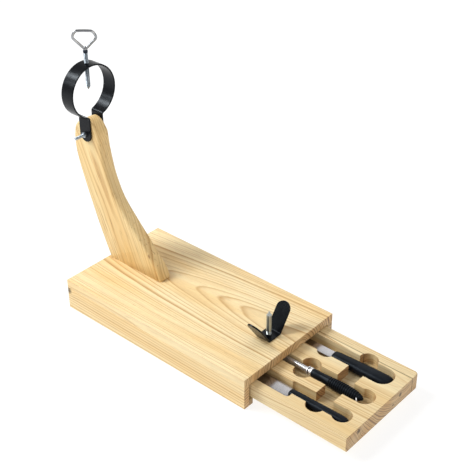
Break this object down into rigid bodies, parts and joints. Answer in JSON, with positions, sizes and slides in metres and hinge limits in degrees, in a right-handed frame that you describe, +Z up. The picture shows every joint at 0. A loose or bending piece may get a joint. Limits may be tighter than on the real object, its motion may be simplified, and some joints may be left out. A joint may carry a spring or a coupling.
{
  "type": "ham holder stand",
  "caption": "Wooden stand that holds a cured ham for carving: a curved arm with a tilting ring clamp, a spike between steel wings, and a base with a drawer for knives.",
  "frame": {"origin": "on the table, under the middle of the base without its drawer", "axes": "+X from the arm to the drawer's open end, +Y to the side away from the pivot bolt's nut, +Z up"},
  "size_m": [0.7256, 0.25, 0.5282],
  "materials": {
    "pine": "satin",
    "pine_runner": "matte",
    "black_steel": "gloss",
    "zinc_steel": "satin",
    "bright_wire": "polished",
    "blade_steel": "satin",
    "black_grip": "matte"
  },
  "bodies": {
    "stand": {"base_top": "pine", "base_side_near": "pine", "base_side_far": "pine", "base_back": "pine", "runner_near": "pine_runner", "runner_far": "pine_runner", "base_dowels": "pine", "arm": "pine", "arm_screws": "zinc_steel", "spike_bracket": "black_steel", "spike": "zinc_steel", "spike_insert": "zinc_steel"},
    "ring": {"ring": "black_steel", "screw_nut": "black_steel", "ring_bolt": "zinc_steel", "ring_nut": "zinc_steel"},
    "screw": {"clamp_screw": "zinc_steel"},
    "handle": {"handle_collar": "black_steel", "clamp_handle": "bright_wire"},
    "drawer": {"drawer_block": "pine", "drawer_strip": "pine"},
    "ham_knife": {"ham_knife_blade": "blade_steel", "ham_knife_handle": "black_grip"},
    "sharpening_steel": {"steel_rod": "blade_steel", "steel_ferrule": "bright_wire", "steel_handle": "black_grip", "steel_ring": "bright_wire"},
    "boning_knife": {"boning_knife_blade": "blade_steel", "boning_knife_handle": "black_grip"}
  },
  "joints": [
    {"name": "ring_tilt", "type": "hinge", "parent": "stand", "child": "ring", "pos_m": [-0.262, 0, 0.3255], "axis": [0, 1, 0], "range_deg": [-50, 70]},
    {"name": "screw_feed", "type": "slide", "parent": "ring", "child": "screw", "axis": [0, 0, 1], "range_m": [-0.0188, 0.0413]},
    {"name": "screw_turn", "type": "hinge", "parent": "screw", "child": "handle", "pos_m": [-0.262, 0, 0.487], "axis": [0, 0, 1], "range_deg": [-5400, 11880]},
    {"name": "drawer_slide", "type": "slide", "parent": "stand", "child": "drawer", "axis": [1, 0, 0], "range_m": [-0.1995, 0.06]},
    {"name": "ham_knife_lift", "type": "hinge", "parent": "drawer", "child": "ham_knife", "pos_m": [0.038, -0.069, 0.03405], "axis": [0, -1, 0], "range_deg": [0, 3.5]},
    {"name": "steel_lift", "type": "hinge", "parent": "drawer", "child": "sharpening_steel", "pos_m": [0.045, -0.003, 0.0352], "axis": [0, -1, 0], "range_deg": [0, 1.8]},
    {"name": "boning_knife_lift", "type": "hinge", "parent": "drawer", "child": "boning_knife", "pos_m": [0.109, 0.0605, 0.0343], "axis": [0, -1, 0], "range_deg": [0, 5]}
  ],
  "couplings": [
    {"joint": "screw_feed", "follows": "screw_turn", "m_per_rad": 0.00019894}
  ]
}
